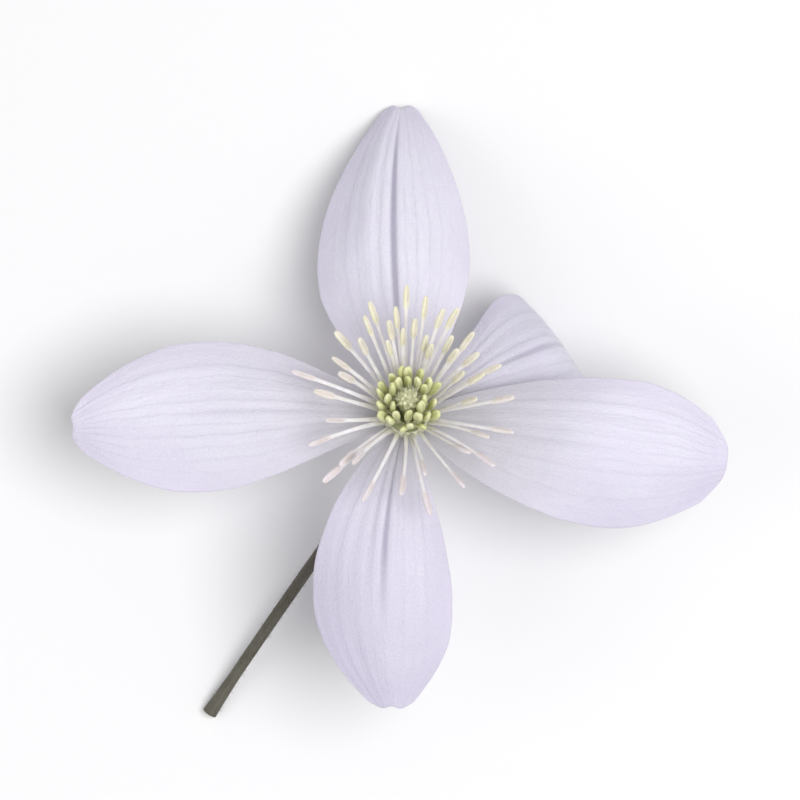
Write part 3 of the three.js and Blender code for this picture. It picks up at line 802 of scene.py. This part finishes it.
# Short hairs on the stalk, thicker towards the flower. lean is how far they tilt along it.
downForm = {
    "hairs": 1500, "seed": 31, "from": 0.05, "run": 0.93, "gather": 1.5, "sunk": 0.93,
    "length": 0.42, "shortest": 0.4, "radius": 0.016, "tipShare": 0.25, "lean": (-0.3, 0.6),
    "pale": (0.42, 0.38, 0.34, 1), "oliveAmount": 0.5,
}
receptacleForm = {
    "outline": ((0, -2.7), (0.8, -2.6), (0.92, -2.2), (1.05, -1.9), (1.56, -1.25), (1.86, -1.0),
                (2.0, -0.832), (2.02, -0.5), (2.0, -0.12), (1.85, 0), (1.2, 0.0), (0, 0)),
    "steps": 40, "crownRun": (-0.55, -0.15),
    # low bosses under the sepals: their width in degrees, their height, the share of it that counts as
    # level, and the radii over which they rise
    "bossWidth": 22, "bossHeight": 0.03, "bossLevel": 0.6, "bossRun": (1.2, 1.8),
}


def stalkSpine():
    form = stalkForm
    lead = polar(form["azimuth"], 1, 0)
    sideways = polar(form["azimuth"] + 90, 1, 0)
    bend = math.radians(form["bendAngle"])
    neck = form["start"] - form["bendStart"]
    curve = form["bendRadius"] * bend
    total = neck + curve + form["run"]

    def bowPoint(angle):
        return (lead * form["bendRadius"] * (1 - math.cos(angle))
                + Vector((0, 0, form["bendStart"] - form["bendRadius"] * math.sin(angle))))

    away = lead * math.sin(bend) + Vector((0, 0, -math.cos(bend)))

    def spine(share):
        travelled = share * total
        if travelled < neck:
            return Vector((0, 0, form["start"] - travelled))
        if travelled < neck + curve:
            return bowPoint((travelled - neck) / form["bendRadius"])
        onRun = (travelled - neck - curve) / form["run"]
        return bowPoint(bend) + away * (onRun * form["run"]) + sideways * (form["bow"] * onRun ** 2)

    return spine, sideways


def stalkRadiusAt(share):
    form = stalkForm
    neck = (form["neckRadius"] - form["radius"]) * max(0, 1 - share / form["neckShare"]) ** 2
    heelFrom = 1 - form["heelShare"]
    heel = (form["heelRadius"] - form["radius"]) * max(0, (share - heelFrom) / form["heelShare"]) ** 1.5
    return form["radius"] + neck + heel


def stalkMaterials():
    form = stalkForm
    skinMaterial, tree, shader, skin = tissueMaterial("stalkSkin", blotchScale=420, cellScale=6000)
    colour = mixColour(tree, mark(tree, "nearFlower"), form["olive"], form["maroon"])
    colour = stain(tree, colour, skin["Blotch"], form["darkAmount"], form["dark"])
    colour = stain(tree, colour, mark(tree, "rib"), form["ridgeAmount"], form["green"])
    roughness = rangeOf(tree, skin["Blotch"], 0.0, 1.0, 0.45, 0.65)
    setInputs(tree, shader, {"Base Color": colour, "Roughness": roughness})
    setRelief(tree, shader, skin["Height"], depth=0.00004, strength=0.9)

    cutMaterial, tree, shader, skin = tissueMaterial("stalkCut", blotchScale=1800, cellScale=9000)
    colour = mixColour(tree, skin["Blotch"], form["cut"], form["pith"])
    setInputs(tree, shader, {"Base Color": colour, "Roughness": 0.6})
    setRelief(tree, shader, skin["Height"], depth=0.00005, strength=0.9)

    downMaterial, tree, shader, skin = tissueMaterial("stalkDown", blotchScale=900, cellScale=9000)
    colour = stain(tree, downForm["pale"], skin["Blotch"], downForm["oliveAmount"], form["olive"])
    setInputs(tree, shader, {"Base Color": colour, "Roughness": 0.7})

    crownMaterial, tree, shader, skin = tissueMaterial("receptacleSkin", blotchScale=600, cellScale=6000)
    under = mixColour(tree, skin["Blotch"], form["green"], form["maroon"])
    crown = mixColour(tree, skin["Blotch"], form["crown"], form["cut"])
    colour = mixColour(tree, mark(tree, "crown"), under, crown)
    roughness = rangeOf(tree, skin["Blotch"], 0.0, 1.0, 0.5, 0.65)
    setInputs(tree, shader, {"Base Color": colour, "Roughness": roughness})
    setRelief(tree, shader, skin["Height"], depth=0.00005, strength=0.9)
    return skinMaterial, cutMaterial, downMaterial, crownMaterial


stalkSkin, stalkCut, stalkDown, receptacleSkin = stalkMaterials()
spine, stalkSide = stalkSpine()


def makeStalk():
    form = stalkForm
    rings = form["rings"]
    rod = growRod([(i / rings, stalkRadiusAt(i / rings)) for i in range(rings + 1)], form["sides"])

    def ribbed(x, y, share):
        angle = math.atan2(y, x)
        lump = noise.noise(Vector((share * form["lumpRate"], angle, 2)))
        swell = 1 + form["ridgeHeight"] * math.cos(form["ridges"] * angle) + form["lumpHeight"] * lump
        return x * swell, y * swell

    bm = bmesh.new()
    layAlong(bm, rod, spine, stalkSide, ribbed, {
        "nearFlower": lambda x, y, share: 1 - smoothStep(*form["maroonRun"], share),
        "rib": lambda x, y, share: max(0, math.cos(form["ridges"] * math.atan2(y, x))),
    })
    for face in bm.faces:
        if len(face.verts) > 4:  # the two ends
            face.material_index = 1
    crease = bm.edges.layers.float.new("crease_edge")
    for edge in bm.edges:
        edge[crease] = form["cutCrease"] if any(len(f.verts) > 4 for f in edge.link_faces) else 0
    soften(finishPiece(bm, "stalkRod", "stalk", [stalkSkin, stalkCut]))


def makeReceptacle():
    form = receptacleForm
    bm = bmesh.new()
    spinOutline(bm, form["outline"], form["steps"])
    crown = bm.verts.layers.float.new("crown")
    for vert in bm.verts:
        vert[crown] = smoothStep(*form["crownRun"], vert.co.z)
        radius = math.hypot(vert.co.x, vert.co.y)
        angle = math.degrees(math.atan2(vert.co.y, vert.co.x))
        bosses = sum(bump((angle - sepal["azimuth"] + 180) % 360 - 180, 0, form["bossWidth"])
                     for sepal in sepals.values())
        swell = 1 + form["bossHeight"] * (bosses - form["bossLevel"]) * smoothStep(*form["bossRun"], radius)
        vert.co.x *= swell
        vert.co.y *= swell
    soften(finishPiece(bm, "receptacle", "stalk", [receptacleSkin]))


def makeDown():
    form = downForm
    bm = bmesh.new()
    hair = growRod([(0, form["radius"]), (1, form["radius"] * form["tipShare"])], 3)
    toFloor = poseMatrix()
    chance = random.Random(form["seed"])
    for _ in range(form["hairs"]):
        share = form["from"] + form["run"] * chance.random() ** form["gather"]
        forward = wayAlong(spine, share)
        around = Matrix.Rotation(chance.uniform(0, 2 * math.pi), 3, forward)
        outward = around @ (stalkSide - forward * stalkSide.dot(forward)).normalized()
        start = spine(share) + outward * stalkRadiusAt(share) * form["sunk"]
        length = form["length"] * chance.uniform(form["shortest"], 1)
        end = start + (outward + forward * chance.uniform(*form["lean"])).normalized() * length
        if (toFloor @ end).z > 0:
            layAlong(bm, hair, lambda t, a=start, b=end: a.lerp(b, t), forward)
    finishPiece(bm, "stalkDown", None, [stalkDown])


makeStalk()
makeReceptacle()
makeDown()
print("stalk done")


# places and sizes in metres, power in watts
studio = {
    "floor": (0.80, 0.80, 0.81, 1), "floorSize": 1.5, "floorRoughness": 0.85,
    "world": (1.0, 1.0, 1.0, 1), "worldStrength": 0.55,
    # each lamp's name, place, size and power
    "lamps": (("key", (0.2, -0.05, 0.61), 0.4, 2.9), ("fill", (-0.45, -0.12, 0.5), 0.5, 0.6)),
    "lens": 400, "azimuth": 0, "elevation": 88, "distance": 0.86, "target": (0.0, 0.0005, 0.014),
}


def makeFloor():
    bm = bmesh.new()
    bmesh.ops.create_grid(bm, x_segments=1, y_segments=1, size=studio["floorSize"])
    mesh = bpy.data.meshes.new("floor")
    bm.to_mesh(mesh)
    bm.free()
    material, tree, shader = newMaterial("paleFloor")
    setInputs(tree, shader, {"Base Color": studio["floor"], "Roughness": studio["floorRoughness"]})
    mesh.materials.append(material)
    floor = bpy.data.objects.new("floor", mesh)
    scene.collection.objects.link(floor)


def turnTo(holder, way):
    holder.rotation_euler = way.to_track_quat("-Z", "Y").to_euler()


def makeLights():
    world = bpy.data.worlds.new("studio")
    world.use_nodes = True
    setInputs(world.node_tree, world.node_tree.nodes["Background"],
              {"Color": studio["world"], "Strength": studio["worldStrength"]})
    scene.world = world
    for name, spot, size, watts in studio["lamps"]:
        lamp = bpy.data.lights.new(name, "AREA")
        lamp.shape = "DISK"
        lamp.size = size
        lamp.energy = watts
        holder = bpy.data.objects.new(name, lamp)
        holder.location = spot
        turnTo(holder, Vector(studio["target"]) - holder.location)
        scene.collection.objects.link(holder)


def makeCamera():
    azimuth, elevation = math.radians(studio["azimuth"]), math.radians(studio["elevation"])
    back = Vector((math.sin(azimuth) * math.cos(elevation), -math.cos(azimuth) * math.cos(elevation),
                   math.sin(elevation)))
    data = bpy.data.cameras.new("camera")
    data.lens = studio["lens"]
    camera = bpy.data.objects.new("camera", data)
    camera.location = Vector(studio["target"]) + back * studio["distance"]
    turnTo(camera, -back)
    scene.collection.objects.link(camera)
    scene.camera = camera


makeFloor()
makeLights()
makeCamera()
scene.view_settings.view_transform = "Standard"
print("stage done")

bpy.context.view_layer.update()
